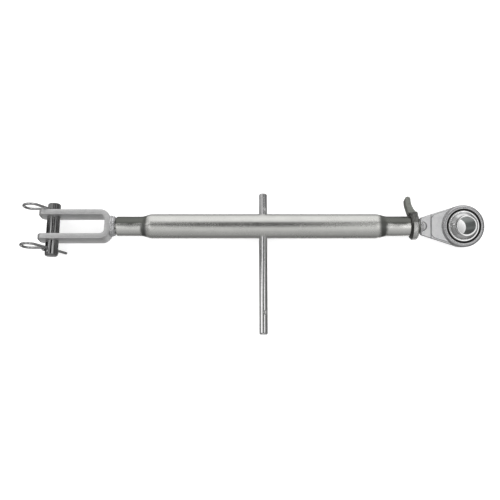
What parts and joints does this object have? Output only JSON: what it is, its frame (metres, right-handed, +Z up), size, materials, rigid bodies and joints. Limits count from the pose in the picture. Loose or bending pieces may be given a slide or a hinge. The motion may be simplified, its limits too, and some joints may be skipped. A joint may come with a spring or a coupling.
{
  "type": "turnbuckle link",
  "caption": "Turnbuckle link with a swaged tube, sliding tommy bar, lever lock nut, U fork with a clipped hitch pin, and a bored pivot ball in an eye.",
  "frame": {"origin": "centre of the pivot ball, on the link's axis", "axes": "+X from the fork to the ball, +Y along the tommy bar and the hitch pin towards the pin's short end, +Z up from the surface the link lies on"},
  "size_m": [0.6765, 0.211, 0.0627],
  "materials": {
    "plated_tube": "zinc plated tube, satin, fine marks along its length",
    "bright_bar": "bright drawn bar, zinc plated",
    "zinc_flat": "zinc plated hot-rolled flat, matte",
    "plated_screw": "zinc plated thread",
    "weld_bead": "rough plated weld",
    "dark_pin": "polished hardened pin",
    "spring_wire": "plated spring wire",
    "blasted_forging": "shot-blasted forging, zinc plated",
    "bright_ring": "bright swaged ring",
    "bright_ball": "polished ball, turned collars",
    "dull_casting": "dull dark casting"
  },
  "bodies": {
    "eye_end": {"eye_forging": "blasted_forging", "eye_spindle": "plated_screw", "eye_weld": "weld_bead", "upper_ball_ring": "bright_ring", "lower_ball_ring": "bright_ring"},
    "lock_nut": {"lock_nut": "dull_casting", "lock_lever": "dull_casting", "lever_weld": "dull_casting"},
    "tube": {"body_tube": "plated_tube"},
    "tommy_bar": {"tommy_bar": "bright_bar"},
    "fork_end": {"fork_head": "zinc_flat", "fork_spindle": "plated_screw", "fork_weld": "weld_bead"},
    "hitch_pin": {"hitch_pin": "dark_pin"},
    "short_side_clip": {"short_side_r_clip": "spring_wire"},
    "long_side_clip": {"long_side_r_clip": "spring_wire"},
    "ball": {"pivot_ball": "bright_ball"}
  },
  "joints": [
    {"name": "nut_travel", "type": "slide", "parent": "eye_end", "child": "lock_nut", "axis": [-1, 0, 0], "range_m": [0, 0.12]},
    {"name": "body_turn", "type": "hinge", "parent": "lock_nut", "child": "tube", "pos_m": [-0.0773, 0, 0], "axis": [-1, 0, 0], "range_deg": [0, 10800]},
    {"name": "fork_travel", "type": "slide", "parent": "eye_end", "child": "fork_end", "axis": [-1, 0, 0], "range_m": [0, 0.24]},
    {"name": "bar_slide", "type": "slide", "parent": "tube", "child": "tommy_bar", "axis": [0, 1, 0], "range_m": [-0.0022, 0.108]},
    {"name": "pin_slide", "type": "slide", "parent": "fork_end", "child": "hitch_pin", "axis": [0, 1, 0], "range_m": [0, 0.0065]},
    {"name": "short_side_clip_pull", "type": "slide", "parent": "hitch_pin", "child": "short_side_clip", "axis": [-0.5446, 0, 0.8387], "range_m": [0, 0.042], "deforming": ["short_side_r_clip"]},
    {"name": "long_side_clip_pull", "type": "slide", "parent": "hitch_pin", "child": "long_side_clip", "axis": [-0.5446, 0, 0.8387], "range_m": [0, 0.042], "deforming": ["long_side_r_clip"]},
    {"name": "ball_tilt", "type": "hinge", "parent": "eye_end", "child": "ball", "pos_m": [0, 0, 0], "axis": [0, 0.9703, 0.2419], "range_deg": [-18, 18]}
  ],
  "couplings": [
    {"joint": "nut_travel", "follows": "body_turn", "m_per_rad": 0.00063662},
    {"joint": "fork_travel", "follows": "body_turn", "m_per_rad": 0.0012732}
  ]
}
